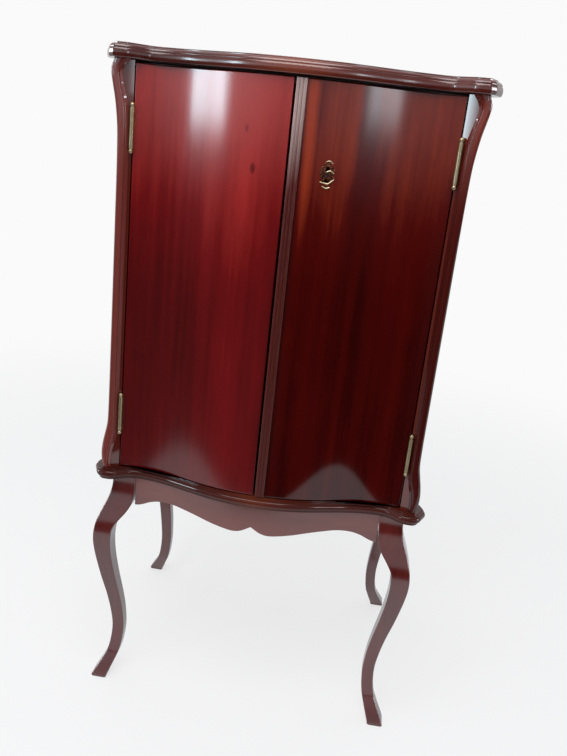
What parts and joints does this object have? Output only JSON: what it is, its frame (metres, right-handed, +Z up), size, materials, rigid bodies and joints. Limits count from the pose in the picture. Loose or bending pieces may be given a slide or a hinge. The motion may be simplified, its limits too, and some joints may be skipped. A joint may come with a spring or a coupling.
{
  "type": "music cabinet",
  "caption": "Tall narrow music cabinet with a serpentine front: paired solid doors, shaped corner posts, eared top and base, shelves inside, on cabriole legs.",
  "frame": {"origin": "centre of the footprint of the whole cabinet on the floor, with the feet on z = 0", "axes": "+Z up, -Y towards the front with the doors, +X to the right as seen from the front"},
  "size_m": [0.563, 0.431, 1.075],
  "materials": {
    "mahogany": "high-gloss red mahogany varnish",
    "side_mahogany": "gloss red mahogany varnish",
    "inside_wood": "thin satin stain",
    "brass": "aged polished brass",
    "lock_steel": "dull steel"
  },
  "bodies": {
    "case": {"leg_front_left": "mahogany", "leg_front_right": "mahogany", "leg_rear_left": "mahogany", "leg_rear_right": "mahogany", "apron_front": "mahogany", "apron_left": "side_mahogany", "apron_right": "side_mahogany", "apron_rear": "side_mahogany", "glue_blocks": "inside_wood", "base_board": "mahogany", "top_board": "mahogany", "side_left": "side_mahogany", "side_right": "side_mahogany", "back_panel": "inside_wood", "stile_left": "mahogany", "stile_right": "mahogany", "post_left": "mahogany", "post_right": "mahogany", "stop_rail": "side_mahogany", "top_cleats": "inside_wood", "shelf_1": "inside_wood", "shelf_2": "inside_wood", "shelf_3": "inside_wood", "shelf_4": "inside_wood", "shelf_5": "inside_wood", "cleats_left": "inside_wood", "cleats_right": "inside_wood", "hinge_upper_left_case": "brass", "hinge_lower_left_case": "brass", "hinge_upper_right_case": "brass", "hinge_lower_right_case": "brass", "hinge_pins": "brass", "screws_case": "brass", "bolt_keepers": "brass", "back_screws": "lock_steel"},
    "left_door": {"door_left": "mahogany", "hinge_upper_left_door": "brass", "hinge_lower_left_door": "brass", "screws_door_left": "brass", "strike": "brass", "bolt_guides_upper": "brass", "bolt_guides_lower": "brass"},
    "right_door": {"door_right": "mahogany", "astragal": "mahogany", "hinge_upper_right_door": "brass", "hinge_lower_right_door": "brass", "screws_door_right": "brass", "escutcheon": "brass", "lock_case": "lock_steel"},
    "lock_bolt_body": {"lock_bolt": "brass"},
    "upper_bolt_body": {"bolt_upper": "brass"},
    "lower_bolt_body": {"bolt_lower": "brass"}
  },
  "joints": [
    {"name": "left_door_swing", "type": "hinge", "parent": "case", "child": "left_door", "pos_m": [-0.2357, -0.1745, 0.738], "axis": [0, 0, -1], "range_deg": [0, 110]},
    {"name": "right_door_swing", "type": "hinge", "parent": "case", "child": "right_door", "pos_m": [0.2357, -0.1745, 0.738], "axis": [0, 0, 1], "range_deg": [0, 110]},
    {"name": "lock_bolt_throw", "type": "slide", "parent": "right_door", "child": "lock_bolt_body", "axis": [-1, 0, 0], "range_m": [0, 0.009]},
    {"name": "upper_bolt_slide", "type": "slide", "parent": "left_door", "child": "upper_bolt_body", "axis": [0, 0, 1], "range_m": [0, 0.01]},
    {"name": "lower_bolt_slide", "type": "slide", "parent": "left_door", "child": "lower_bolt_body", "axis": [0, 0, -1], "range_m": [0, 0.01]}
  ]
}
